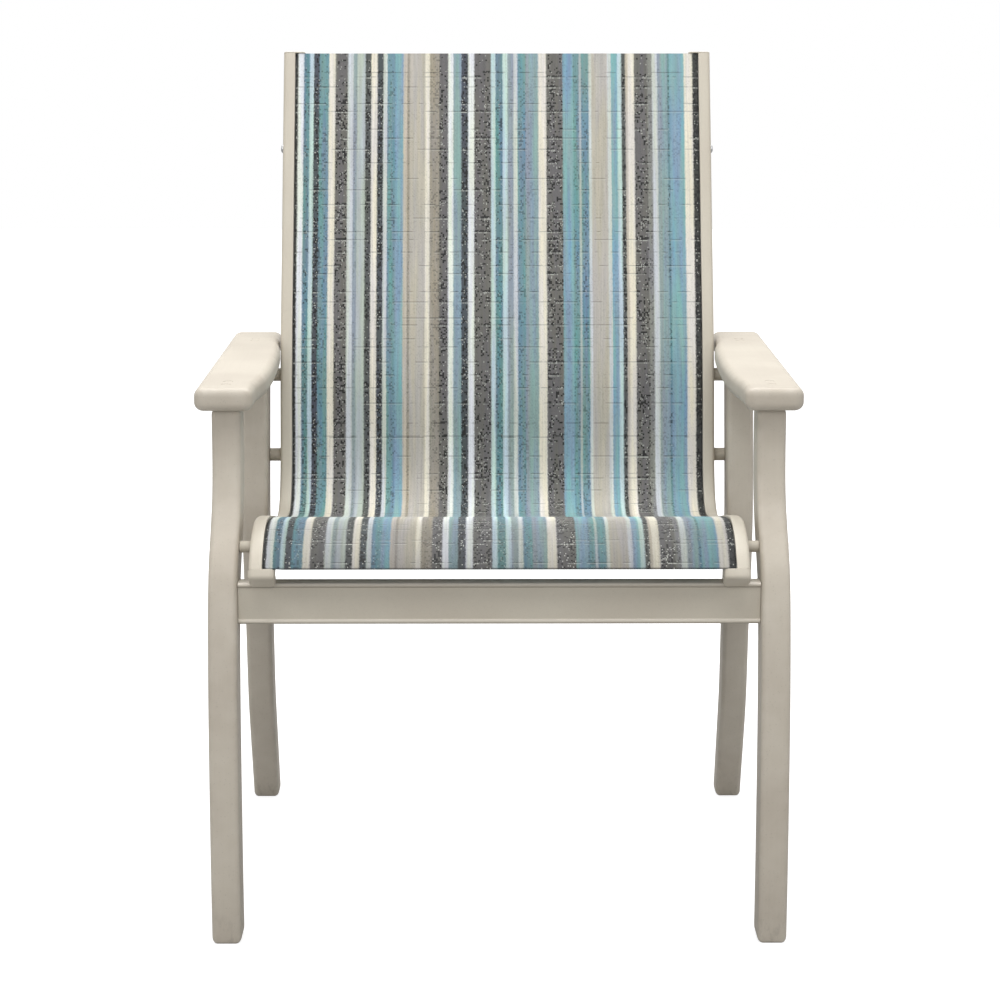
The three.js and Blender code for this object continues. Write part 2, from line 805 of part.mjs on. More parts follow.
// A bowed tube whose straight ends are filled and threaded for the screws
function spreader({ name, distance }) {
  const { at, up } = stationAt(distance);
  const half = railInner - seatGap;
  const forward = new THREE.Vector3(1, 0, 0).cross(up);
  const stations = spreaderBowShares.map((share, i, all) => {
    const straight = i < 2 || i > all.length - 3;
    const bow = straight ? 0 : (spreaderBow * (1 - Math.cos(2 * Math.PI * share))) / 2;
    return {
      at: at.clone().addScaledVector(up, boltLine - bow).setX((2 * share - 1) * half),
      across: forward,
      up,
    };
  });
  const ring = (radius) => arc(0, 0, radius, 0, 360, spreaderSides).slice(1);
  const tubeRadius = spreaderDiameter / 2;
  const tube = swept(stations, ring(tubeRadius), [ring(tubeRadius - spreaderWall)]);
  const [y, z] = boltPlace(distance);
  const filling = (from, to) => pin(from, to, tubeRadius - spreaderWall / 2, spreaderSides, y, z);
  const bore = spreaderScrewDiameter / 2 + boreGap;
  const past = half + overrun;
  const solid = joined(tube, [filling(half - threadedEnd, half), filling(-half, threadedEnd - half)]);
  return part(name, cut(solid, [
    pin(half - threadedEnd - overrun, past, bore, boltSides, y, z),
    pin(-past, threadedEnd + overrun - half, bore, boltSides, y, z),
  ]), metalMaterial);
}

function spreaderScrew([y, z]) {
  const face = railOuter + seatGap;
  const radius = spreaderScrewDiameter / 2;
  return turned([
    [0, railInner - spreaderScrewInTube],
    [radius, railInner - spreaderScrewInTube],
    [radius, face],
    [spreaderScrewHead / 2, face],
    [spreaderScrewHead / 2, face + spreaderScrewHeadThick / 2],
    [spreaderScrewHead / 3, face + spreaderScrewHeadThick],
    [0, face + spreaderScrewHeadThick],
  ], boltSides, y, z);
}

// Putting the chair together

function part(name, geometry, material) {
  const shaded = geometry.toNonIndexed();
  shaded.computeVertexNormals();
  const mesh = new THREE.Mesh(shaded, new THREE.MeshStandardMaterial(material));
  mesh.name = name;
  return mesh;
}

function spacer({ name, place: [y, z], diameter }) {
  const bore = boltRadius + boreGap;
  const ring = turned([
    [bore, railOuter + seatGap],
    [diameter / 2, railOuter + seatGap],
    [diameter / 2, legInner - seatGap],
    [bore, legInner - seatGap],
    [bore, railOuter + seatGap],
  ], spacerSides, y, z);
  return [name, ring, plasticMaterial];
}

// Every piece of the right side, which the left side mirrors
const sidePieces = [
  [
    'front_leg',
    legBoard(frontLegOutline, [boltSpots[0], ...frontBeamBolts], frontArmScrews),
    frameMaterial,
  ],
  [
    'rear_leg',
    legBoard(rearLegOutline, [...boltSpots.slice(1), ...rearBeamBolts], rearArmScrews),
    frameMaterial,
  ],
  ['arm', armBoard(), frameMaterial],
  ['sling_rail', rail(), metalMaterial],
  ['rail_front_cap', frontCap(), plasticMaterial],
  ['rail_top_cap', topCap(), plasticMaterial],
  ['spline_rod', splineRod(), rodMaterial],
  ...spacers.map(spacer),
  ...spacers.flatMap(({ name, place }) => [
    [name.replace('spacer', 'rail_bolt'), bolt(railInner - boltPastRail, place), steelMaterial],
    [name.replace('spacer', 'cap_nut'), capNut(place), steelMaterial],
  ]),
  ...frontBeamBolts.map((place, i) => [
    `front_beam_bolt_${i + 1}`,
    bolt(legInner - beamBoltReach, place),
    steelMaterial,
  ]),
  ...rearBeamBolts.map((place, i) => [
    `rear_beam_bolt_${i + 1}`,
    bolt(legInner - beamBoltReach, place),
    steelMaterial,
  ]),
  ...armScrewSpots.map((place, i) => [`arm_screw_${i + 1}`, armScrew(place), steelMaterial]),
  ...spreaders.map(({ name }, i) => [`${name}_screw`, spreaderScrew(spreaderSpots[i]), steelMaterial]),
];

const chair = new THREE.Group();
for (const [name, geometry, material] of sidePieces) {
  chair.add(part(`right_${name}`, geometry, material));
  chair.add(part(`left_${name}`, mirrored(geometry), material));
}
chair.add(beam('front_beam', frontBeamFace, frontBeamTop - beamHeight, 1));
chair.add(beam('rear_beam', rearBeamFace, rearBeamTop - beamHeight, -1));
chair.add(part('sling', slingSheet(), fabricMaterial));
chair.add(...spreaders.map(spreader));

// The origin is on the floor at the middle of the chair's length
const bounds = new THREE.Box3().setFromObject(chair);
chair.position.y = -(bounds.min.y + bounds.max.y) / 2;
const group = new THREE.Group();
group.add(chair);
export default group;
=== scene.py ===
import math

import bpy
import numpy as np
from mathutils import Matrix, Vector


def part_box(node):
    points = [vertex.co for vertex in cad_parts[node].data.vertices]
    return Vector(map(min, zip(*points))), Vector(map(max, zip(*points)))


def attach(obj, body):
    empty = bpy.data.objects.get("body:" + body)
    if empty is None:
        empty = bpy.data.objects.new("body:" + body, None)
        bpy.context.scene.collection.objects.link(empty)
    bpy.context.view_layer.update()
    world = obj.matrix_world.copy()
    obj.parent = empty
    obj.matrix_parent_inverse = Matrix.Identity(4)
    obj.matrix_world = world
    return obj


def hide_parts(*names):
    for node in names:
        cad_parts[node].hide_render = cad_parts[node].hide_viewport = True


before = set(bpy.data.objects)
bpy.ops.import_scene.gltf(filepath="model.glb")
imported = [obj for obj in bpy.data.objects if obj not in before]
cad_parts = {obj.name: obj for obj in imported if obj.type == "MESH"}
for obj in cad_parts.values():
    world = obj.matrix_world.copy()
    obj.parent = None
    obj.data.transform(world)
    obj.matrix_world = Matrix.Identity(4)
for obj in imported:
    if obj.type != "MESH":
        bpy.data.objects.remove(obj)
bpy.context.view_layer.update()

# Front and rear legs: boards of solid polymer sawn to a curve, with every edge rounded over and a
# fine matt skin. They stand on their sawn ends, carry the arms on their tops, and the beams and the
# sling rails are bolted to them.

MM = 0.001
DATUM = 336.23  # the legs' foremost face lies this far ahead of the origin
SHARP = math.radians(34)  # a crease stays crisp above this turn
LEG_INNER = 281.25
LEG_OUTER = 313
LEG_TOP = 574.3
LEG_EDGE = 6
LEG_CORNER = 3
SUPPORT = 1.5  # keeps the flat of a board flat up to its rounded edge
COUNTERBORE = 15
COUNTERBORE_FLOOR = 307.3
CLEAR = 7  # a boring pin runs on this far past the surface
SIDES = (("right", 1), ("left", -1))
FRONT_LEG_SWEEP = 98  # how far the sawn face steps back behind its foremost point
FRONT_LEG_DEPTHS = [49]
REAR_LEG_FACE = 460  # the rear leg's foremost point
REAR_LEG_SWEEP = 119
REAR_LEG_DEPTHS = [37.1, 44.1, 52.2, 56.3, 58]  # from the floor up
FRONT_LEG_SHARES = [
    (0, 0.03), (0.12, 0), (0.35, 0.01), (0.48, 0.05), (0.6, 0.14), (0.68, 0.25), (0.725, 0.38),
    (0.76, 0.55), (0.795, 0.73), (0.83, 0.88), (0.865, 0.96), (0.92, 1), (1, 1),
]
REAR_LEG_SHARES = [
    (0, 1), (0.07, 0.84), (0.15, 0.65), (0.25, 0.44), (0.42, 0.27), (0.52, 0.13), (0.61, 0.03),
    (0.68, 0), (0.73, 0.02), (0.8, 0.07), (0.9, 0.16), (1, 0.245),
]


class Signal:
    """A socket of a finish, on which sums and products build Math nodes."""

    def __init__(self, finish, socket):
        self.finish = finish
        self.socket = socket

    def maths(self, operation, *values, clamp=False):
        settings = {"operation": operation, "use_clamp": clamp}
        return self.finish.add("ShaderNodeMath", settings, dict(enumerate(values)))

    def __add__(self, other):
        return self.maths("ADD", self, other)

    def __radd__(self, other):
        return self.maths("ADD", other, self)

    def __sub__(self, other):
        return self.maths("SUBTRACT", self, other)

    def __rsub__(self, other):
        return self.maths("SUBTRACT", other, self)

    def __mul__(self, other):
        return self.maths("MULTIPLY", self, other)

    def __rmul__(self, other):
        return self.maths("MULTIPLY", other, self)

    def __truediv__(self, other):
        return self.maths("DIVIDE", self, other)

    def __mod__(self, other):
        return self.maths("FLOORED_MODULO", self, other)

    def __gt__(self, other):
        return self.maths("GREATER_THAN", self, other)

    def __lt__(self, other):
        return self.maths("LESS_THAN", self, other)

    def floor(self):
        return self.maths("FLOOR", self)

    def fraction(self):
        return self.maths("FRACT", self)

    def near(self, value):
        """1 where the signal is within 0.7 of the value, otherwise 0."""
        gap = self - value
        return gap * gap < 0.5

    def rounded(self):
        """Across each whole step, the height of a round yarn: 0 at its sides, 1 along its middle."""
        from_middle = 2 * self.fraction() - 1
        return 1 - from_middle * from_middle

    def between(self, low, high):
        """0 at low, 1 at high, eased between them."""
        settings = {"interpolation_type": "SMOOTHSTEP"}
        return self.finish.add("ShaderNodeMapRange", settings, {0: self, 1: low, 2: high})


class Finish:
    """A material, made of one shader and the nodes that vary it."""

    def __init__(self, name, **constants):
        self.material = bpy.data.materials.new(name)
        self.material.use_nodes = True
        self.tree = self.material.node_tree
        self.shader = self.tree.nodes["Principled BSDF"]
        for socket, value in constants.items():
            self.shader.inputs[socket.replace("_", " ")].default_value = value

    def add(self, kind, settings=None, sockets=None, output=0):
        """A node with its settings and sockets, given back as the signal of one output."""
        node = self.tree.nodes.new(kind)
        for name, value in (settings or {}).items():
            if name == "stops":
                self.set_stops(node.color_ramp, value)
            else:
                setattr(node, name, value)
        for socket, value in (sockets or {}).items():
            self.plug(node.inputs[socket], value)
        return Signal(self, node.outputs[output])

    def set_stops(self, ramp, stops):
        ramp.interpolation = "LINEAR"
        ramp.elements[0].position, ramp.elements[0].color = stops[0]
        ramp.elements.remove(ramp.elements[1])
        for position, colour in stops[1:]:
            ramp.elements.new(position).color = colour

    def plug(self, socket, value):
        if isinstance(value, Signal):
            self.tree.links.new(value.socket, socket)
        else:
            socket.default_value = value

    def feed(self, socket, value):
        self.plug(self.shader.inputs[socket], value)

    def place(self, x=1.0, y=1.0, z=1.0):
        """The point on the chair, stretched along each axis."""
        at = self.add("ShaderNodeTexCoord", output="Object")
        return self.add("ShaderNodeVectorMath", {"operation": "MULTIPLY"}, {0: at, 1: (x, y, z)})

    def part_of(self, vector, axis):
        return self.add("ShaderNodeSeparateXYZ", sockets={0: vector}, output=axis)

    def vector(self, x=0.0, y=0.0, z=0.0):
        return self.add("ShaderNodeCombineXYZ", sockets={0: x, 1: y, 2: z})

    def noise(self, vector, scale=1.0, detail=2.0, roughness=0.5):
        sockets = {"Vector": vector, "Scale": scale, "Detail": detail, "Roughness": roughness}
        return self.add("ShaderNodeTexNoise", None, sockets, "Fac")

    def dice(self, vector):
        """One even random value from 0 to 1 for each whole place."""
        return self.add("ShaderNodeTexWhiteNoise", None, {"Vector": vector}, "Value")

    def mark(self, name):
        """A value stored on the mesh."""
        return self.add("ShaderNodeAttribute", {"attribute_name": name}, output="Fac")

    def blend(self, share, first, second, way="MIX"):
        settings = {"data_type": "RGBA", "blend_type": way}
        return self.add("ShaderNodeMix", settings, {0: share, 6: first, 7: second}, 2)

    def lit(self, colour, level):
        """The colour times a level that varies."""
        grey = self.add("ShaderNodeCombineColor", sockets={0: level, 1: level, 2: level})
        return self.blend(1.0, colour, grey, "MULTIPLY")

    def relief(self, height, depth, strength=1.0):
        """A bump of that depth in metres, fed to the shader."""
        sockets = {"Height": height, "Distance": depth, "Strength": strength}
        self.feed("Normal", self.add("ShaderNodeBump", None, sockets))


def paint(red, green, blue):
    """A colour as a screen shows it, from 0 to 255, as light."""
    parts = [c / 255 for c in (red, green, blue)]
    return tuple(c / 12.92 if c <= 0.04045 else ((c + 0.055) / 1.055) ** 2.4 for c in parts) + (1.0,)


def polymer(name, along):
    """Polymer board: coloured right through, with faint lines drawn out along the grain."""
    finish = Finish(name, IOR=1.5)
    lines = {"Y": (320, 7, 320), "Z": (320, 320, 7)}[along]
    drawn = finish.noise(finish.place(*lines), 1.0, 3.0, 0.6)
    cloud = finish.noise(finish.place(), 11.0, 3.0)
    skin = finish.noise(finish.place(), 1500.0, 2.0, 0.65)
    speck = finish.dice(finish.add(
        "ShaderNodeVectorMath", {"operation": "FLOOR"}, {0: finish.place(900, 900, 900)},
    )) > 0.985
    edge = finish.mark("rim") * finish.noise(finish.place(), 60.0, 3.0).between(0.35, 0.7)
    near_floor = 1 - finish.part_of(finish.place(), 2).between(0.0, 0.05)
    scuff = near_floor * finish.noise(finish.place(1, 1, 0.4), 130.0, 4.0, 0.7).between(0.5, 0.66)
    colour = finish.blend(cloud.between(0.3, 0.7), paint(179, 170, 156), paint(188, 180, 166))
    colour = finish.lit(colour, 0.965 + 0.07 * drawn + 0.02 * skin - 0.1 * speck)
    colour = finish.blend(0.22 * edge, colour, paint(214, 207, 197))
    colour = finish.blend(0.3 * scuff, colour, paint(136, 128, 118))
    finish.feed("Base Color", colour)
    finish.feed("Roughness", 0.41 + 0.1 * cloud + 0.08 * skin - 0.06 * edge + 0.15 * scuff)
    finish.relief(0.6 * skin + 0.4 * drawn - 0.5 * scuff, 0.00012, 0.6)
    return finish


def placed(x, y, z):
    """A point of the drawing, in millimetres from the legs' foremost face, as metres in the frame."""
    return (x * MM, (y - DATUM) * MM, z * MM)


def unit(rows):
    return rows / np.linalg.norm(rows, axis=-1, keepdims=True)


def smooth_line(points, count):
    """Evenly spaced points on a centripetal curve through the given ones."""
    knots = np.array(points, float)
    knots = np.vstack([2 * knots[0] - knots[1], knots, 2 * knots[-1] - knots[-2]])
    fine = []
    for i in range(1, len(knots) - 2):
        p0, p1, p2, p3 = knots[i - 1:i + 3]
        t1, t2, t3 = np.cumsum([np.linalg.norm(b - a) ** 0.5 for a, b in ((p0, p1), (p1, p2), (p2, p3))])
        t = np.linspace(t1, t2, 48, endpoint=i == len(knots) - 3)[:, None]
        a1 = ((t1 - t) * p0 + t * p1) / t1
        a2 = ((t2 - t) * p1 + (t - t1) * p2) / (t2 - t1)
        a3 = ((t3 - t) * p2 + (t - t2) * p3) / (t3 - t2)
        b1 = ((t2 - t) * a1 + t * a2) / t2
        b2 = ((t3 - t) * a2 + (t - t1) * a3) / (t3 - t1)
        fine.append(((t2 - t) * b1 + (t - t1) * b2) / (t2 - t1))
    fine = np.vstack(fine)
    run = np.concatenate([[0], np.cumsum(np.linalg.norm(np.diff(fine, axis=0), axis=1))])
    even = np.linspace(0, run[-1], count)
    return np.column_stack([np.interp(even, run, column) for column in fine.T])


def leg_outline(shares, foremost, sweep, depths):
    """A leg from its side: the sawn face, and behind it the back at the board's depth."""
    face = smooth_line([(foremost + reach * sweep, high * LEG_TOP) for high, reach in shares], 61)
    along = unit(np.gradient(face, axis=0))
    depth = np.interp(np.linspace(0, 1, len(face)), np.linspace(0, 1, len(depths)), depths)
    back = face + depth[:, None] * np.column_stack([along[:, 1], -along[:, 0]])
    for end in (0, -1):
        back[end] += along[end] * (face[end, 1] - back[end, 1]) / along[end, 1]
    return np.vstack([back, face[::-1]])


def eased(outline, radius, steps=5):
    """An outline with its sawn corners rounded a little."""
    if not radius:
        return outline
    eased_points = []
    for before, corner, after in zip(np.roll(outline, 1, 0), outline, np.roll(outline, -1, 0)):
        back, ahead = unit(before - corner), unit(after - corner)
        half = math.acos(max(-1.0, min(1.0, float(back @ ahead)))) / 2
        if half > 1.2:
            eased_points.append(corner)
            continue
        middle = corner + unit(back + ahead) * radius / math.sin(half)
        first, last = (corner + way * radius / math.tan(half) - middle for way in (back, ahead))
        for share in np.linspace(0, 1, steps):
            eased_points.append(middle + radius * unit(first * (1 - share) + last * share))
    return np.array(eased_points)


def drawn_in(outline, distance):
    """A closed outline moved inwards, for the rings of a rounded edge."""
    before = unit(outline - np.roll(outline, 1, 0))
    after = unit(np.roll(outline, -1, 0) - outline)
    way = np.column_stack([-(before + after)[:, 1], (before + after)[:, 0]])
    return outline + 2 * distance * way / (way * way).sum(axis=1, keepdims=True)


def counter_clockwise(outline):
    x, y = np.array(outline, float).T
    turn = (x * np.roll(y, -1) - y * np.roll(x, -1)).sum()
    return np.array(outline, float)[::1 if turn > 0 else -1]


def crisp(mesh):
    mesh.shade_smooth()
    mesh.set_sharp_from_angle(angle=SHARP)


def layered(name, rings, finish, closed=False, marks=None):
    """A piece from rings of points, each joined to the next. Its ends are closed, or meet."""
    size = len(rings[0])
    points = np.array([point for ring in rings for point in ring])
    faces = []
    for i in range(len(rings) if closed else len(rings) - 1):
        here, there = i * size, (i + 1) % len(rings) * size
        faces += [
            (here + k, here + (k + 1) % size, there + (k + 1) % size, there + k) for k in range(size)
        ]
    if not closed:
        last = len(points) - size
        faces += [tuple(range(size))[::-1], tuple(range(last, last + size))]
    volume = sum(
        points[face[0]] @ np.cross(points[face[k]], points[face[k + 1]])
        for face in faces for k in range(1, len(face) - 1)
    )
    if volume < 0:
        faces = [face[::-1] for face in faces]
    mesh = bpy.data.meshes.new(name)
    mesh.from_pydata(points.tolist(), [], faces)
    for mark, values in (marks or {}).items():
        mesh.attributes.new(mark, "FLOAT", "POINT").data.foreach_set(
            "value", np.repeat(values, size) if len(values) == len(rings) else values,
        )
    mesh.materials.append(finish.material)
    crisp(mesh)
    piece = bpy.data.objects.new(name, mesh)
    bpy.context.collection.objects.link(piece)
    return piece


def board(name, outline, low, high, edge, stand, finish, corner=0.0):
    """A board between two levels of its drawing, with every edge rounded over."""
    low, high = sorted((low, high))
    turns = np.linspace(0, math.pi / 2, 7)
    inward = [edge + SUPPORT, *(edge * (1 - np.sin(turns)))]
    along = [0, *(edge * (1 - np.cos(turns)))]
    levels = [low + step for step in along] + [high - step for step in along[::-1]]
    insets = inward + inward[::-1]
    outline = counter_clockwise(outline)
    rings = [[stand(a, b, level) for a, b in eased(drawn_in(outline, inset), corner)]
             for inset, level in zip(insets, levels)]
    rim = [max(0.0, 1 - abs(2 * inset / edge - 0.6)) for inset in insets]
    return layered(name, rings, finish, marks={"rim": rim})


def bored(piece, pins):
    """The piece with round holes cut by the pins, which are then cleared away."""
    for pin in pins:
        cutter = piece.modifiers.new("bore", "BOOLEAN")
        cutter.operation, cutter.solver, cutter.object = "DIFFERENCE", "EXACT", pin
    shown = piece.evaluated_get(bpy.context.evaluated_depsgraph_get())
    mesh = bpy.data.meshes.new_from_object(shown)
    piece.modifiers.clear()
    piece.data = mesh
    crisp(mesh)
    for pin in pins:
        bpy.data.objects.remove(pin)


def turned(name, profile, centre, axis, finish, sides=40, closed=False, corners=0):
    """A turned piece: [radius, place along its axis] from one end to the other."""
    angles = np.linspace(0, 2 * math.pi, sides, endpoint=False)
    rings = []
    for radius, along, *hexagonal in profile:
        reach = np.full(sides, float(radius))
        if corners and hexagonal:
            facet = math.pi / corners
            reach = radius * math.cos(facet) / np.cos((angles % (2 * facet)) - facet)
        across, up = reach * np.cos(angles), reach * np.sin(angles)
        if axis == "X":
            rings.append([placed(along, centre[0] + a, centre[1] + b) for a, b in zip(across, up)])
        else:
            rings.append([placed(centre[0] + a, centre[1] + b, along) for a, b in zip(across, up)])
    return layered(name, rings, finish, closed)


def fitted(piece, slot, *nodes):
    """Rides the piece on the chair and hides the solids that it stands for. The slot is not used."""
    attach(piece, "root")
    if nodes:
        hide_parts(*nodes)


def centre_of(node):
    """The middle of a CAD node in the drawing's millimetres."""
    low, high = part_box(node)
    x, y, z = ((a + b) / 2 / MM for a, b in zip(low, high))
    return x, y + DATUM, z


upright_board = polymer("polymer_board_upright", "Z")
legs = {
    "front_leg": (
        leg_outline(FRONT_LEG_SHARES, 0, FRONT_LEG_SWEEP, FRONT_LEG_DEPTHS),
        ["front_rail_bolt", "front_beam_bolt_1", "front_beam_bolt_2"],
    ),
    "rear_leg": (
        leg_outline(REAR_LEG_SHARES, REAR_LEG_FACE, REAR_LEG_SWEEP, REAR_LEG_DEPTHS),
        ["lower_back_rail_bolt", "upper_back_rail_bolt", "rear_beam_bolt_1", "rear_beam_bolt_2"],
    ),
}
for side, sign in SIDES:
    for leg, (outline, bolts) in legs.items():
        piece = board(
            f"{side}_{leg}_board", outline, sign * LEG_INNER, sign * LEG_OUTER, LEG_EDGE,
            lambda y, z, x: placed(x, y, z), upright_board, LEG_CORNER,
        )
        pin = [[COUNTERBORE / 2, sign * COUNTERBORE_FLOOR], [COUNTERBORE / 2, sign * (LEG_OUTER + CLEAR)]]
        bored(piece, [
            turned("pin", pin, centre_of(f"{side}_{bolt}")[1:], "X", upright_board) for bolt in bolts
        ])
        fitted(piece, "board", f"{side}_{leg}")

# Arms: flat boards of the same polymer with full round edges and a belly towards the sitter. They
# lie on the leg tops and are screwed down from above through bores that flush plugs close.

ARM_TOP = 600
ARM_THICK = 25.4
ARM_FRONT = 76
ARM_REAR = 600
ARM_OUTER = 330
ARM_EDGE = 9
ARM_CORNER = 12
ARM_INNER_FRONT = 266
ARM_BELLY = 258
ARM_INNER_REAR = 269.5
ARM_SCREW_BORE = 10.4
ARM_BORE_FLOOR = 591.7
ARM_BULGE = [(0.1, 0), (0.22, 0.72), (0.38, 1), (0.55, 0.86), (0.67, 0.6), (0.76, 0.22)]
ARM_BELLY_END = 0.82  # as a share of the arm's length


def arc(x, y, radius, start, end, steps):
    angles = np.radians(np.linspace(start, end, steps + 1))
    return [(x + radius * math.cos(a), y + radius * math.sin(a)) for a in angles]


def arm_outline():
    length = ARM_REAR - ARM_FRONT
    inner = [
        (ARM_INNER_FRONT + (ARM_BELLY - ARM_INNER_FRONT) * bulge, ARM_FRONT + along * length)
        for along, bulge in ARM_BULGE
    ]
    inner = smooth_line([*inner, (ARM_INNER_REAR, ARM_FRONT + ARM_BELLY_END * length)], 45)
    return [
        *arc(ARM_INNER_FRONT + ARM_CORNER, ARM_FRONT + ARM_CORNER, ARM_CORNER, 180, 270, 10),
        *arc(ARM_OUTER - ARM_CORNER, ARM_FRONT + ARM_CORNER, ARM_CORNER, 270, 360, 10),
        *arc(ARM_OUTER - ARM_CORNER, ARM_REAR - ARM_CORNER, ARM_CORNER, 0, 90, 10),
        *arc(ARM_INNER_REAR + ARM_CORNER, ARM_REAR - ARM_CORNER, ARM_CORNER, 90, 180, 10),
        *[tuple(point) for point in inner[::-1]],
    ]


flat_board = polymer("polymer_board_flat", "Y")
for side, sign in SIDES:
    outline = [(sign * x, y) for x, y in arm_outline()]
    piece = board(f"{side}_arm_board", outline, ARM_TOP - ARM_THICK, ARM_TOP, ARM_EDGE, placed, flat_board)
    pin = [[ARM_SCREW_BORE / 2, ARM_BORE_FLOOR], [ARM_SCREW_BORE / 2, ARM_TOP + CLEAR]]
    bored(piece, [
        turned("pin", pin, centre_of(f"{side}_arm_screw_{i}")[:2], "Z", flat_board) for i in range(1, 5)
    ])
    fitted(piece, "board", f"{side}_arm")

# Plugs: small discs of the board's polymer pressed into the bores over the screws in the arms and
# over the bolt heads in the legs. They lie flush, with a soft dome and a fine seam round them.

# Radius, and height over the board's surface
ARM_PLUG = [(4.6, -5.1), (5.05, -4.6), (5.05, -0.5), (4.8, -0.15), (4.2, 0), (2.4, 0.1), (0.4, 0.12)]
LEG_PLUG = [(7.3, -1.1), (7.35, -0.5), (7.1, -0.15), (6.4, 0), (3.5, 0.1), (0.4, 0.12)]

plug_polymer = polymer("polymer_plug", "Y")
for side, sign in SIDES:
    on_arm = [(radius, ARM_TOP + height) for radius, height in ARM_PLUG]
    on_leg = [(radius, sign * (LEG_OUTER + height)) for radius, height in LEG_PLUG]
    for i in range(1, 5):
        spot = centre_of(f"{side}_arm_screw_{i}")[:2]
        fitted(turned(f"{side}_arm_plug_{i}", on_arm, spot, "Z", plug_polymer), "board")
    for leg, (outline, bolts) in legs.items():
        for i, bolt in enumerate(bolts, 1):
            spot = centre_of(f"{side}_{bolt}")[1:]
            fitted(turned(f"{side}_{leg}_plug_{i}", on_leg, spot, "X", plug_polymer), "board")

# Cross beams: two aluminium extrusions between the side frames, powder coated to match the boards.
# A round bead runs along the top and the bottom of the face; four bolts through the legs run into
# the thick webs of each.

BEAM_HALF = 280.95
BEAM_HEIGHT = 45
BEAM_DEPTH = 25.4
BEAM_CORNER = 2.5
BEAD = 2.5
BEAD_STEPS = 14
FACE_BACK = 0.94 * BEAD  # the flat of the face lies this far behind the beads
FACE_EDGE = 2 * BEAD + 0.8
FRONT_BEAM = (28, 351)  # the front of its beads, and its underside
REAR_BEAM = (521.2, 253)
LOW_BEAD, HIGH_BEAD = (np.linspace(start, start - 176, BEAD_STEPS + 1) for start in (270, 266))  # degrees
BEAM_SECTION = [
    *arc(BEAD, BEAD, BEAD, LOW_BEAD[0], LOW_BEAD[-1], BEAD_STEPS),
    (FACE_BACK, FACE_EDGE),
    (FACE_BACK, BEAM_HEIGHT - FACE_EDGE),
    *arc(BEAD, BEAM_HEIGHT - BEAD, BEAD, HIGH_BEAD[0], HIGH_BEAD[-1], BEAD_STEPS),
    *arc(BEAM_DEPTH - BEAM_CORNER, BEAM_HEIGHT - BEAM_CORNER, BEAM_CORNER, 90, 0, 5),
    *arc(BEAM_DEPTH - BEAM_CORNER, BEAM_CORNER, BEAM_CORNER, 0, -90, 5),
]


def powder_coat(name):
    """Powder coat on aluminium: an even colour with a fine sanded texture and a soft gloss."""
    finish = Finish(name, IOR=1.5)
    grit = finish.noise(finish.place(), 1900.0, 2.0, 0.7)
    peel = finish.noise(finish.place(), 240.0, 3.0)
    cloud = finish.noise(finish.place(), 9.0, 2.0)
    speck = finish.dice(finish.add(
        "ShaderNodeVectorMath", {"operation": "FLOOR"}, {0: finish.place(1400, 1400, 1400)},
    ))
    colour = finish.blend(cloud.between(0.3, 0.7), paint(188, 180, 165), paint(194, 187, 172))
    # painted highlight along the upper half of each bead, and painted shade on its underside, from the
    # beams' marks
    colour = finish.blend(0.85 * finish.mark("crown"), colour, paint(232, 225, 214))
    colour = finish.blend(0.6 * finish.mark("groove"), colour, paint(112, 102, 90))
    colour = finish.lit(colour, 0.95 + 0.05 * grit + 0.05 * peel - 0.06 * (speck > 0.96))
    finish.feed("Base Color", colour)
    finish.feed("Roughness", 0.36 + 0.14 * grit + 0.05 * cloud)
    finish.relief(0.5 * grit + 0.5 * peel, 0.0001, 0.7)
    return finish


beam_coat = powder_coat("powder_coat_beams")
for name, (face, low), facing in (("front_beam", FRONT_BEAM, 1), ("rear_beam", REAR_BEAM, -1)):
    rings = [[placed(x, face + facing * y, low + z) for y, z in BEAM_SECTION]
             for x in np.linspace(-BEAM_HALF, BEAM_HALF, 41)]
    # the upper half of each bead is painted paler as a highlight, and its lower half darker as the shade
    # under it;
    # the face's two points and the twelve of the back corners stay plain
    marks = {}
    for mark, way in (("crown", 1), ("groove", -1)):
        low_part, high_part = (np.clip(way * np.sin(np.radians(a)), 0, 1) for a in (LOW_BEAD, HIGH_BEAD))
        marks[mark] = np.tile([*low_part, 0, 0, *high_part, *[0] * 12], len(rings))
    fitted(layered(f"{name}_extrusion", rings, beam_coat, marks=marks), "coated_metal", name)

# Sling rails: aluminium extrusions bent to the line of seat and back, powder coated. A slot along
# the top opens into a round channel that holds the fabric's hem; the outer lip stands a little
# above the fabric and hides its edge.

RAIL_OUTER = 267
RAIL_INNER = 240
RAIL_DEPTH = 28
RAIL_ROUND = 4
RAIL_PROUD = 1.5
LIP_DROP = 1.5
SLOT_X = 251.5
SLOT_HALF = 1.2
SLOT_EDGE = 0.6
CHANNEL_DEPTH = 7.8
CHANNEL_RADIUS = 5.5
BOLT_LINE = -20.8
RAIL_START = 11.5
TOP_CAP = 1.8
SEAT_NOSE = -4  # from here the line runs back by SEAT_REACH
SEAT_REACH = 497
SEAT_LOW = 397  # the lowest point, and how far the front roll rises above it
SEAT_RISE = 56.5
BACK_FOOT = 493  # from here the back leans by BACK_LEAN
BACK_LEAN = 158
BACK_LOW = 462
BACK_RISE = 484
SEAT_PATH = [  # shares of the reach and the rise
    (0, 0.173), (0.013, 0.372), (0.032, 0.549), (0.056, 0.701), (0.0885, 0.844), (0.129, 0.947),
    (0.174, 1), (0.233, 0.966), (0.334, 0.827), (0.515, 0.513), (0.7155, 0.177), (0.817, 0.041),
    (0.886, 0.011), (0.942, 0.204), (0.978, 0.589),
]
BACK_PATH = [
    (0, 0), (0.095, 0.171), (0.266, 0.355), (0.42, 0.485), (0.576, 0.626), (0.715, 0.752),
    (0.861, 0.878), (1, 1),
]

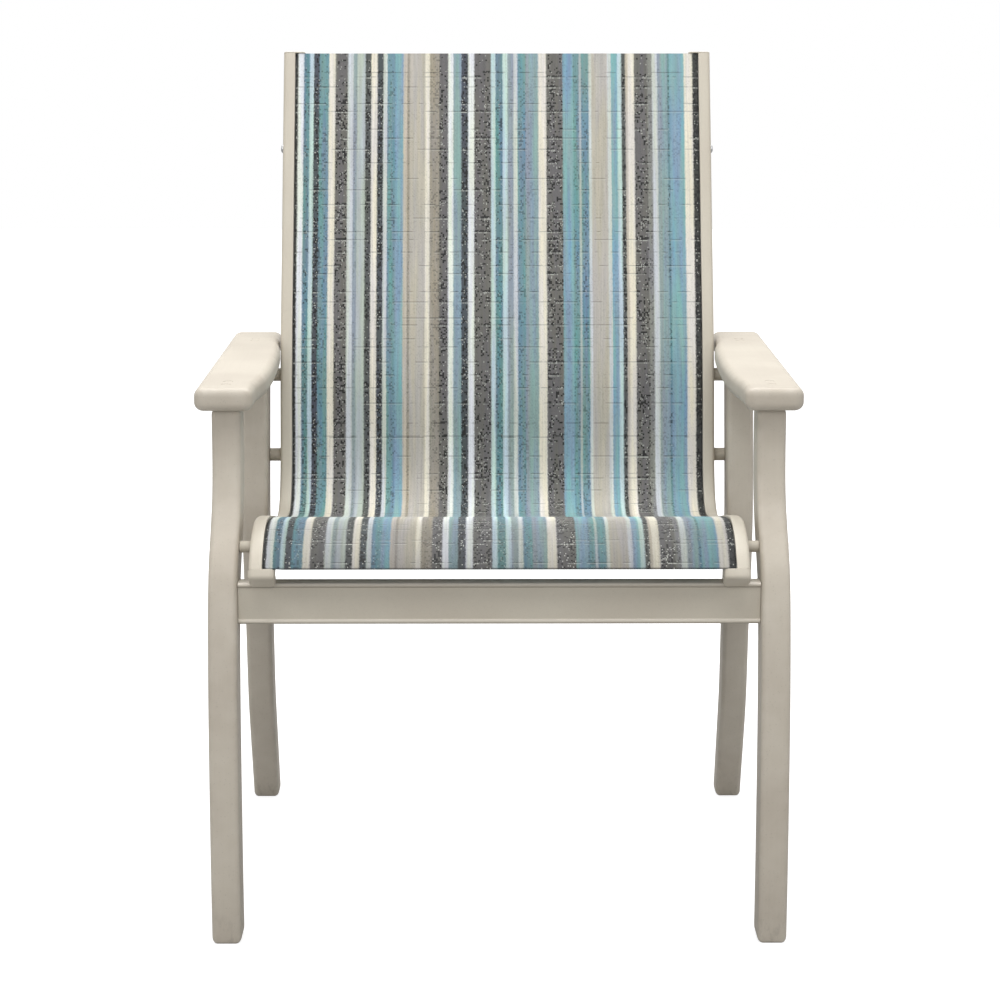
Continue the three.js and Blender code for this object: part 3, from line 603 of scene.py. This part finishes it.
path = smooth_line(
    [(SEAT_NOSE + SEAT_REACH * along, SEAT_LOW + SEAT_RISE * high) for along, high in SEAT_PATH]
    + [(BACK_FOOT + BACK_LEAN * along, BACK_LOW + BACK_RISE * high) for along, high in BACK_PATH],
    2401,
)
path_length = float(np.linalg.norm(np.diff(path, axis=0), axis=1).sum())
path_run = np.linspace(0, path_length, len(path))
path_along = unit(np.gradient(path, axis=0))
RAIL_END = path_length - TOP_CAP


def on_path(distance, x, up):
    """A point at a distance along the rails' line, across the chair and above the fabric."""
    y, z = (np.interp(distance, path_run, column) for column in path.T)
    ahead, rise = (np.interp(distance, path_run, column) for column in path_along.T)
    return placed(x, y - rise * up, z + ahead * up)


opening = math.degrees(math.asin(SLOT_HALF / CHANNEL_RADIUS))
RAIL_SECTION = [
    *arc(RAIL_OUTER - RAIL_ROUND, RAIL_ROUND - RAIL_DEPTH, RAIL_ROUND, -90, 0, 6),
    *arc(RAIL_OUTER - RAIL_ROUND, RAIL_PROUD - RAIL_ROUND, RAIL_ROUND, 0, 90, 6),
    *arc(SLOT_X + SLOT_HALF + SLOT_EDGE, RAIL_PROUD - SLOT_EDGE, SLOT_EDGE, 90, 180, 3),
    *arc(SLOT_X, -CHANNEL_DEPTH, CHANNEL_RADIUS, 90 - opening, opening - 270, 22),
    *arc(SLOT_X - SLOT_HALF - SLOT_EDGE, -LIP_DROP - SLOT_EDGE, SLOT_EDGE, 0, 90, 3),
    *arc(RAIL_INNER + LIP_DROP, -2 * LIP_DROP, LIP_DROP, 90, 180, 4),
    *arc(RAIL_INNER + RAIL_ROUND, RAIL_ROUND - RAIL_DEPTH, RAIL_ROUND, 180, 270, 6),
]
rail_coat = powder_coat("powder_coat_rails")
for side, sign in SIDES:
    rings = [[on_path(distance, sign * x, up) for x, up in RAIL_SECTION]
             for distance in np.linspace(RAIL_START, RAIL_END, 170)]
    fitted(layered(f"{side}_rail_extrusion", rings, rail_coat), "coated_metal", f"{side}_sling_rail")

# Rail end caps: moulded plastic, each pressed into the rail's hollow by a tongue. The front one is
# a block a little fuller than the rail, rounded over at its nose; the top one is a thin flush lid.

SEAM = 0.3
FRONT_CAP_PROUD = 0.8
FRONT_CAP_CORNER = 6
FRONT_CAP_NOSE = 4
TOP_CAP_CORNER = 4
TOP_CAP_NOSE = 0.9


def moulded(name):
    """Moulded plastic in the frame's colour, a shade darker and with a fine even skin."""
    finish = Finish(name, IOR=1.46)
    skin = finish.noise(finish.place(), 1100.0, 3.0, 0.7)
    cloud = finish.noise(finish.place(), 22.0, 2.0)
    colour = finish.blend(cloud.between(0.3, 0.7), paint(186, 178, 163), paint(196, 189, 175))
    finish.feed("Base Color", finish.lit(colour, 0.96 + 0.06 * skin))
    finish.feed("Roughness", 0.43 + 0.12 * skin)
    finish.relief(skin, 0.00012, 0.5)
    return finish


def rail_cap(name, sign, proud, corner, steps):
    """steps: distance along the rails' line and how far the section is drawn in there."""
    low, high = -RAIL_DEPTH - proud, RAIL_PROUD + proud
    left, right = RAIL_INNER - proud, RAIL_OUTER + proud
    outline = counter_clockwise([
        *arc(right - corner, low + corner, corner, -90, 0, 8),
        *arc(right - corner, high - corner, corner, 0, 90, 8),
        *arc(left + corner, high - corner, corner, 90, 180, 8),
        *arc(left + corner, low + corner, corner, 180, 270, 8),
    ])
    rings = [[on_path(distance, sign * x, up) for x, up in drawn_in(outline, inset)]
             for distance, inset in steps]
    return layered(name, rings, cap_plastic)


def nose(radius, steps=7):
    turns = np.linspace(0, math.pi / 2, steps)
    return [(radius * (1 - math.cos(a)), radius * (1 - math.sin(a))) for a in turns]


cap_plastic = moulded("moulded_caps")
for side, sign in SIDES:
    steps = [(0, 5.5), *nose(FRONT_CAP_NOSE), (6, 0), (8.5, 0), (10.8, 0), (RAIL_START - SEAM, 0.4)]
    block = rail_cap(f"{side}_front_cap_moulding", sign, FRONT_CAP_PROUD, FRONT_CAP_CORNER, steps)
    fitted(block, "trim", f"{side}_rail_front_cap")
    steps = [(path_length, 3), *[(path_length - down, inset) for down, inset in nose(TOP_CAP_NOSE)],
             (RAIL_END + 0.5, 0), (RAIL_END + SEAM, 0.2)]
    lid = rail_cap(f"{side}_top_cap_moulding", sign, 0, TOP_CAP_CORNER, steps)
    fitted(lid, "trim", f"{side}_rail_top_cap")

# Spacers: plastic tubes that hold each rail away from the legs, one in front and two up the back,
# with a bolt through each.

SPACER_RADII = {"front": 6.35, "lower_back": 7.95, "upper_back": 7.95}
SPACER_BORE = 3.6
SPACER_ROUND = [(0.8, 0), (0.2, 0.25), (0, 0.9)]  # the rounded end: how far in, how far along

spacer_plastic = moulded("moulded_spacers")
for side, sign in SIDES:
    near, far = sign * (RAIL_OUTER + SEAM), sign * (LEG_INNER - SEAM)
    for place, radius in SPACER_RADII.items():
        node = f"{side}_{place}_spacer"
        near_end = [(radius - inward, near + sign * along) for inward, along in SPACER_ROUND]
        far_end = [(radius - inward, far - sign * along) for inward, along in SPACER_ROUND[::-1]]
        profile = [(SPACER_BORE, near), *near_end, *far_end, (SPACER_BORE, far)]
        tube = turned(f"{node}_tube", profile, centre_of(node)[1:], "X", spacer_plastic, closed=True)
        fitted(tube, "trim", node)

# Bolts, nuts and screws: stainless steel. The bolts end in closed cap nuts against the rails' inner
# faces; a button head on each rail's outer face holds a spreader tube.

stainless = Finish("stainless_fasteners", Metallic=1.0, IOR=1.45)
turning = stainless.noise(stainless.place(900, 120, 120), 1.0, 2.0)
smudge = stainless.noise(stainless.place(), 70.0, 3.0)
stainless.feed("Base Color", stainless.blend(
    smudge.between(0.35, 0.7), paint(196, 197, 198), paint(178, 179, 181),
))
stainless.feed("Roughness", 0.24 + 0.12 * smudge + 0.1 * turning)
stainless.relief(turning, 0.00004, 0.5)

# The bolts and the arm screws sit in their bores, and show as their own solids
for node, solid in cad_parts.items():
    if any(word in node for word in ("_bolt", "arm_screw")):
        solid.data.materials.clear()
        solid.data.materials.append(stainless.material)

# Radius, height over the rail's face, and a mark where the step is six-sided
NUT_DOME = [(6.1 * math.cos(a), 4.6 + 4.4 * math.sin(a)) for a in np.radians([18, 36, 54, 70, 84])]
CAP_NUT = [(3.9, 6), (3.9, 0), (5.9, 0), (6.58, 0.5, True), (6.58, 4.2, True), (6.1, 4.6), *NUT_DOME]
BUTTON_SCREW = [
    (3, -41.3), (3, 0), (5.3, 0), (5.5, 0.3), (5.3, 1.4), (4.4, 2.5), (3.1, 3.1), (2.2, 3.3),
    (2.0, 3.2, True), (2.0, 1.2, True),
]


def fasten(node, profile, face, way):
    """A nut or a screw on a rail's face, standing off it that way along X."""
    steps = [(radius, face + way * height, *mark) for radius, height, *mark in profile]
    spot = centre_of(node)[1:]
    fitted(turned(f"{node}_turned", steps, spot, "X", stainless, sides=48, corners=6), "hardware", node)


for side, sign in SIDES:
    for place in ("front", "lower_back", "upper_back"):
        fasten(f"{side}_{place}_cap_nut", CAP_NUT, sign * (RAIL_INNER - SEAM), -sign)
    for place in ("seat", "back"):
        fasten(f"{side}_{place}_spreader_screw", BUTTON_SCREW, sign * (RAIL_OUTER + SEAM), sign)

# Spreader tubes: two thin aluminium tubes that keep the rails apart, one under the seat and one
# behind the back. Each bows away from the fabric, and a screw through either rail holds it.

SPREADER_BOW = 30
SPREADER_HALF = 239.7
SPREADER_RADIUS = 8
SEAT_SPREADER = 227  # along the rails' line
BACK_SPREADER = path_length - 120

tube_coat = powder_coat("powder_coat_tubes")
for node, distance in (("seat_spreader", SEAT_SPREADER), ("back_spreader", BACK_SPREADER)):
    shares = np.linspace(0, 1, 81)
    line = np.column_stack([
        (2 * shares - 1) * SPREADER_HALF,
        BOLT_LINE - SPREADER_BOW * (1 - np.cos(2 * math.pi * shares)) / 2,
    ])
    along = unit(np.gradient(line, axis=0))
    rings = []
    for (x, up), (dx, dup) in zip(line, along):
        centre = np.array(on_path(distance, x, up))
        above = np.array(on_path(distance, x, up + 1)) - centre
        beside = np.cross((1, 0, 0), above)
        across = above * dx - np.array([MM, 0, 0]) * dup
        rings.append([
            tuple(centre + SPREADER_RADIUS * (math.cos(a) * across + math.sin(a) * beside))
            for a in np.linspace(0, 2 * math.pi, 28, endpoint=False)
        ])
    fitted(layered(f"{node}_tube", rings, tube_coat), "coated_metal", node)

# Spline rods: solid plastic rods inside the fabric's side hems, which lock it in the rails'
# channels. They are slid in together with the sling and show as their own solids.

spline = Finish("spline_rod", Roughness=0.5)
scratch = spline.noise(spline.place(500, 20, 20), 1.0, 2.0)
spline.feed("Base Color", spline.blend(scratch, paint(214, 214, 208), paint(226, 226, 221)))
spline.relief(scratch, 0.0001, 0.4)
for side in ("right", "left"):
    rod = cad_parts[f"{side}_spline_rod"]
    rod.data.materials.clear()
    rod.data.materials.append(spline.material)

# Sling: one panel of coated yarn, woven in stripes that run up the chair, stretched between the
# rails. Each side is folded round a spline rod and slid into the rail's slot; the top and the front
# end are folded under and sewn.

FABRIC_THICK = 1.2
FABRIC_START = RAIL_START + SEAM
FABRIC_END = RAIL_END - SEAM
HEM_DEPTH = 34  # the folded ends
HEM_THICK = 0.9
HEM_STEP = 1.2  # over which a hem thins out to the single cloth
HEM_SIDE = 236
ROD_LOOP = 3.6
SEAT_SAG = 2.5
SAG_START = 150  # along the rails' line
SAG_LENGTH = 330
WARP = 1.15  # width of a warp yarn
WEFT = 1.45
SLUB_EVERY = 11.0  # weft yarns, with one slub in each such run of them

# Yarns by name, and the stripes from the left rail to the right one: yarn, width in millimetres
YARNS = {
    "white": (241, 247, 243), "cream": (242, 238, 223), "shell": (215, 223, 219),
    "mist": (191, 202, 197), "ice": (203, 228, 228), "aqua": (146, 173, 178),
    "sky": (138, 178, 190), "lagoon": (116, 155, 164), "teal": (104, 144, 152),
    "steel": (151, 166, 172), "pebble": (196, 192, 180), "oat": (205, 198, 183),
    "taupe": (164, 158, 144), "ash": (140, 142, 139), "charcoal": (110, 109, 106),
    "slate": (84, 88, 85), "ink": (72, 79, 85), "coal": (56, 58, 56),
}
STRIPES = [
    ("coal", 4.5), ("white", 7), ("teal", 7.5), ("ice", 5), ("ink", 7), ("lagoon", 12), ("cream", 8),
    ("charcoal", 15.5), ("shell", 7), ("steel", 5), ("mist", 10), ("slate", 7.5), ("cream", 7.5),
    ("ink", 7.5), ("shell", 5), ("lagoon", 10), ("sky", 10), ("oat", 5), ("taupe", 3), ("pebble", 19.5),
    ("cream", 5.5), ("taupe", 12), ("charcoal", 11), ("white", 6.5), ("aqua", 10), ("ink", 8.5),
    ("white", 7.5), ("charcoal", 21), ("ice", 5.5), ("teal", 9), ("ice", 6), ("steel", 7.5),
    ("shell", 5), ("lagoon", 10), ("steel", 4.5), ("aqua", 11.5), ("cream", 10), ("charcoal", 20.5),
    ("sky", 13), ("lagoon", 7.5), ("mist", 2.5), ("lagoon", 9.5), ("shell", 3.5), ("pebble", 20),
    ("shell", 4.5), ("sky", 8), ("ice", 5), ("slate", 5), ("oat", 3), ("cream", 8), ("charcoal", 16.5),
    ("ash", 6), ("shell", 6.5), ("steel", 5), ("aqua", 7.5), ("teal", 2.5), ("sky", 18.5), ("cream", 10.5),
    ("coal", 7.5),
]
STRIPES_START = -253
BANDS = 4  # the stripes are laid on in this many colour ramps
BLUR = 0.9  # half the width over which two stripes mingle

cloth = Finish("striped_sling", IOR=1.46)
sideways = cloth.part_of(cloth.place(1000, 1000, 1000), 0)  # millimetres from the middle
run = cloth.mark("run")  # millimetres along the panel
warp_place = sideways / WARP
weft_place = run / WEFT
warp_row = warp_place.floor()
weft_row = weft_place.floor()
wander = cloth.noise(cloth.vector(run * 0.09, sideways * 0.2)) - 0.5
mingled = cloth.dice(cloth.vector(warp_row, weft_row, 2.0)) - 0.5  # neighbouring yarns mix at an edge
across = sideways + 0.9 * wander + 0.7 * mingled

edges = STRIPES_START + np.cumsum([0] + [width for _, width in STRIPES])
share = math.ceil(len(STRIPES) / BANDS)
dyed = None
for band in range(BANDS):
    first, last = band * share, min((band + 1) * share, len(STRIPES))
    start, end = edges[first], edges[last]
    stops = []
    for i in range(first, last):
        for place in (edges[i] + BLUR, edges[i + 1] - BLUR):
            stops.append(((place - start) / (end - start), paint(*YARNS[STRIPES[i][0]])))
    laid = cloth.add("ShaderNodeValToRGB", {"stops": stops}, {0: (across - start) / (end - start)}, "Color")
    dyed = laid if dyed is None else cloth.blend(across.between(start - BLUR, start + BLUR), dyed, laid)

# Space-dyed yarn: each stripe drifts between greener and bluer, paler and deeper along its length
drift = cloth.noise(cloth.vector(across * 0.13, run * 0.006), 1.0, 1.0)
fade = cloth.noise(cloth.vector(across * 0.17, run * 0.009, 7.0), 1.0, 1.0)
dyed = cloth.add("ShaderNodeHueSaturation", None, {
    "Hue": 0.5 + 0.14 * (drift - 0.5), "Saturation": 1.0 + 0.8 * (fade - 0.5),
    "Value": 1.0 + 0.24 * (fade - 0.5), "Color": dyed,
})
cast = cloth.blend(drift.between(0.36, 0.64), paint(252, 252, 244), paint(248, 245, 255))
dyed = cloth.blend(1.0, dyed, cast, "MULTIPLY")
grey = cloth.add("ShaderNodeRGBToBW", None, {0: dyed})
deep = 1 - grey.between(0.15, 0.3)
middling = 1 - grey.between(0.3, 0.42)

# Weave: warp yarns on top at two crossings of three, so the stripes stay clear
warp_up = ((warp_row + weft_row) % 3.0) > 0.5
height = warp_up * warp_place.rounded() + (1 - warp_up) * (0.8 * weft_place.rounded())

# Flecks: black and pale specks of the dye, one or two crossings wide, crowded in the dark stripes
crossing = cloth.dice(cloth.vector(warp_row, weft_row))
speck = cloth.dice(cloth.vector((warp_place * 0.56).floor(), (weft_place * 0.7).floor(), 5.0))
cluster = cloth.noise(cloth.vector(across * 0.07, run * 0.035), 1.0, 2.0).between(0.4, 0.6)
calm = 1 - 0.7 * (run > FABRIC_END - HEM_DEPTH)
crowd = calm * (0.25 + 0.75 * cluster)
darkest = 1 - grey.between(0.07, 0.15)
dark_fleck = (speck > 1 - (0.29 + 0.22 * darkest) * crowd) * (0.42 * middling + 0.58 * deep)
pale_fleck = (crossing < 0.06 * crowd) * (0.3 * middling + 0.7 * deep)
streak = cloth.noise(cloth.vector(across * 0.55, run * 0.012), 1.0, 2.0) - 0.5

# Slubs: about every 16 mm a thicker weft yarn shows as a thin broken line, faint across the pale
# stripes, and in black dashes with pale ones under them across the dark stripes
slub_turn = (weft_row / SLUB_EVERY).floor()
slub_gap = weft_row % SLUB_EVERY - (SLUB_EVERY * cloth.dice(cloth.vector(slub_turn, 3.0))).floor()
slub_here = cloth.noise(cloth.vector(across * 0.05, slub_turn * 5.3), 1.0, 2.0).between(0.49, 0.57)
slub = slub_here * slub_gap.near(0)
thick_slub = slub_here * slub_gap.near(0.5)
under_slub = slub_here * slub_gap.near(-1)
faint_line = (0.32 + 0.16 * middling) * (1 - deep) * slub
black_dash = 0.84 * deep * (crossing > 0.3) * thick_slub

# Painted light and shade: a painted dark line of shade along the cut of the front fold, and the front roll
# painted darker than the back as shade
fold_edge_shade = 1 - (run - FABRIC_START).between(0.9, 1.9)
front_roll_shade = 1 - run.between(60, 150)
# painted shade: each yarn is drawn lighter along its middle and darker at its sides where it dips under its
# neighbours
level = (0.7 + 0.22 * height + 0.45 * streak) * (1 - 0.96 * dark_fleck) * (1 - 0.12 * (crossing > 0.88))
level = level * (1 - faint_line - black_dash) * (1 - 0.6 * fold_edge_shade) * (1 - 0.47 * front_roll_shade)
woven = cloth.lit(dyed, level)
woven = cloth.blend(0.55 * pale_fleck, woven, paint(200, 201, 194))
woven = cloth.blend((0.12 + 0.3 * deep * (crossing > 0.6)) * under_slub, woven, paint(226, 229, 220))
cloth.feed("Base Color", woven)
cloth.feed("Roughness", 0.66 + 0.14 * (1 - height))
cloth.relief(height + 0.4 * slub, 0.00028, 0.55)

right_loop = [(SLOT_X - 1.3, -0.62), (SLOT_X - 0.35, -1.2), (SLOT_X, -2.4)] + [
    (SLOT_X + ROD_LOOP * math.cos(math.radians(a)), -CHANNEL_DEPTH + ROD_LOOP * math.sin(math.radians(a)))
    for a in range(120, 396, 25)
]
columns = np.linspace(-(SLOT_X - 3), SLOT_X - 3, 85)
centre_line = np.array(
    [(-x, up) for x, up in right_loop[::-1]] + [(x, -FABRIC_THICK / 2) for x in columns] + right_loop
)
ahead = unit(np.gradient(centre_line, axis=0))
normal = np.column_stack([-ahead[:, 1], ahead[:, 0]])
flat = np.abs(centre_line[:, 0]) < HEM_SIDE
front_hem, top_hem = FABRIC_START + HEM_DEPTH, FABRIC_END - HEM_DEPTH
distances = np.union1d(
    np.linspace(FABRIC_START, FABRIC_END, 226),
    [front_hem, front_hem + HEM_STEP, top_hem, top_hem - HEM_STEP],
)
rings, marks = [], []
for distance in distances:
    to_end = min(distance - FABRIC_START, FABRIC_END - distance)
    fold = HEM_THICK * min(1.0, max(0.0, (HEM_DEPTH + HEM_STEP - to_end) / HEM_STEP))
    sitting = math.sin(math.pi * min(1.0, max(0.0, (distance - SAG_START) / SAG_LENGTH))) ** 2
    sag = SEAT_SAG * sitting * (1 - (centre_line[:, 0] / SLOT_X) ** 2) * flat
    upper = centre_line + normal * FABRIC_THICK / 2
    lower = centre_line - normal * FABRIC_THICK / 2
    upper[:, 1] -= sag
    lower[:, 1] -= sag + fold * flat
    rings.append([on_path(distance, x, up) for x, up in np.vstack([upper, lower[::-1]])])
    marks += [distance] * len(rings[-1])
sling = layered("sling_panel", rings, cloth, marks={"run": marks})
fitted(sling, "sling_fabric", "sling")

# Floor and light: a grey floor that the camera sees as white round the chair's soft shadow, a
# surround that is white to the camera and in reflections, broad soft lamps overhead, high in front
# and low in front, and a weak one at either side.

FLOOR_GREY = (0.42, 0.42, 0.42, 1)
FLOOR_GLOW = 0.78  # for the camera alone, on top of the light that falls on the floor
FAR_GLOW = 0.3  # more of it away from the chair
ROOM_LIGHT = 0.28  # what the surround sheds on the chair
CHAIR = (0, 0, 0.5)
LOW_ON_CHAIR = (0, 0, 0.45)

ground = Finish("white_floor", Roughness=0.9)
ground.feed("Base Color", FLOOR_GREY)
seen = ground.add("ShaderNodeLightPath", output="Is Camera Ray")
away = ground.add("ShaderNodeVectorMath", {"operation": "LENGTH"}, {0: ground.place()}, "Value")
glow = seen * (FLOOR_GLOW + FAR_GLOW * away.between(0.5, 1.6))
ground.feed("Emission Color", ground.lit((1, 1, 1, 1), glow))
ground.shader.inputs["Emission Strength"].default_value = 1.0
floor_mesh = bpy.data.meshes.new("floor")
floor_mesh.from_pydata([(-9, -9, 0), (9, -9, 0), (9, 9, 0), (-9, 9, 0)], [], [(0, 1, 2, 3)])
floor_mesh.materials.append(ground.material)
floor = bpy.data.objects.new("floor", floor_mesh)
bpy.context.collection.objects.link(floor)

world = bpy.data.worlds.new("white_room")
bpy.context.scene.world = world
world.use_nodes = True
nodes, links = world.node_tree.nodes, world.node_tree.links
background = nodes["Background"]
background.inputs["Color"].default_value = (1, 1, 1, 1)
light_path = nodes.new("ShaderNodeLightPath")
gloss = nodes.new("ShaderNodeMath")
gloss.operation = "MAXIMUM"
links.new(light_path.outputs["Is Camera Ray"], gloss.inputs[0])
links.new(light_path.outputs["Is Glossy Ray"], gloss.inputs[1])
through = nodes.new("ShaderNodeMath")
through.operation = "MAXIMUM"
links.new(gloss.outputs[0], through.inputs[0])
links.new(light_path.outputs["Is Transmission Ray"], through.inputs[1])
strength = nodes.new("ShaderNodeMapRange")
strength.inputs["To Min"].default_value = ROOM_LIGHT
strength.inputs["To Max"].default_value = 1.0
links.new(through.outputs[0], strength.inputs["Value"])
links.new(strength.outputs[0], background.inputs["Strength"])


def softbox(name, place, aim, width, length, power):
    light = bpy.data.lights.new(name, "AREA")
    light.shape = "RECTANGLE"
    light.size, light.size_y, light.energy = width, length, power
    lamp = bpy.data.objects.new(name, light)
    lamp.location = place
    lamp.rotation_euler = (Vector(aim) - Vector(place)).to_track_quat("-Z", "Y").to_euler()
    bpy.context.collection.objects.link(lamp)


softbox("overhead", (0.0, 0.9, 3.1), CHAIR, 3.4, 2.0, 98)
softbox("high_front", (0.0, -1.7, 3.2), CHAIR, 2.6, 1.4, 45)
softbox("front", (-0.3, -4.2, 1.7), CHAIR, 2.8, 1.2, 38)
softbox("left_side", (-2.8, -1.4, 1.7), LOW_ON_CHAIR, 1.6, 1.2, 16)
softbox("right_side", (2.8, -1.4, 1.7), LOW_ON_CHAIR, 1.6, 1.2, 14)

# Camera: chest high and a little over three metres in front of the chair, looking down ten degrees
# through a long lens, as the photograph was taken.

LOOKING_DOWN = 10.2  # degrees
TURNED = -0.3

view = bpy.data.cameras.new("camera")
view.lens = 102.3
view.sensor_width = 36
view.clip_end = 60
camera = bpy.data.objects.new("camera", view)
camera.location = (-0.015, -3.2942, 1.024)
camera.rotation_euler = (math.radians(90 - LOOKING_DOWN), 0, math.radians(TURNED))
bpy.context.collection.objects.link(camera)
bpy.context.scene.camera = camera
bpy.context.scene.view_settings.view_transform = "Standard"

bpy.context.view_layer.update()
